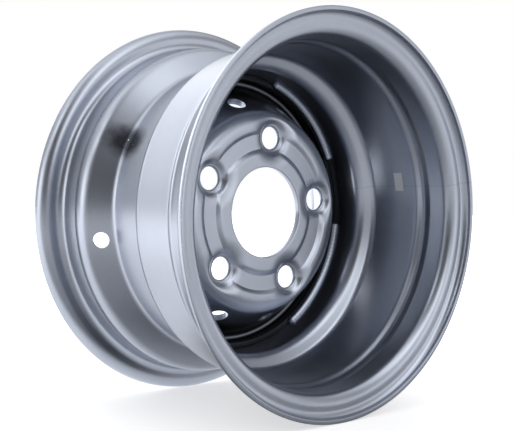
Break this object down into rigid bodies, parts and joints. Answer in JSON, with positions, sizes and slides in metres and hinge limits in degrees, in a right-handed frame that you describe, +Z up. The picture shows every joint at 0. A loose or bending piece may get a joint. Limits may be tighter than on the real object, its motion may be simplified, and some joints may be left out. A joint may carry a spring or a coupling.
{
  "type": "steel wheel rim",
  "caption": "Pressed steel trailer wheel: drop-centre rim with curled flanges and a welded-in disc with centre bore, dished bolt seats and vented skirt.",
  "frame": {"origin": "the wheel's centre: on the axle line, midway between the two flange edges", "axes": "the axle runs along Y; -Y is the inboard (hub) side seen in the picture, +Y the outboard side; +Z is up with the valve hole just below level on the -X side"},
  "size_m": [0.285, 0.1704, 0.285],
  "materials": {
    "rim_paint": "satin silver-grey paint",
    "disc_paint": "satin silver-grey paint",
    "weld_paint": "silver-grey paint over weld"
  },
  "bodies": {
    "root": {"rim": "rim_paint", "wheel_disc": "disc_paint", "welds": "weld_paint"}
  },
  "joints": []
}
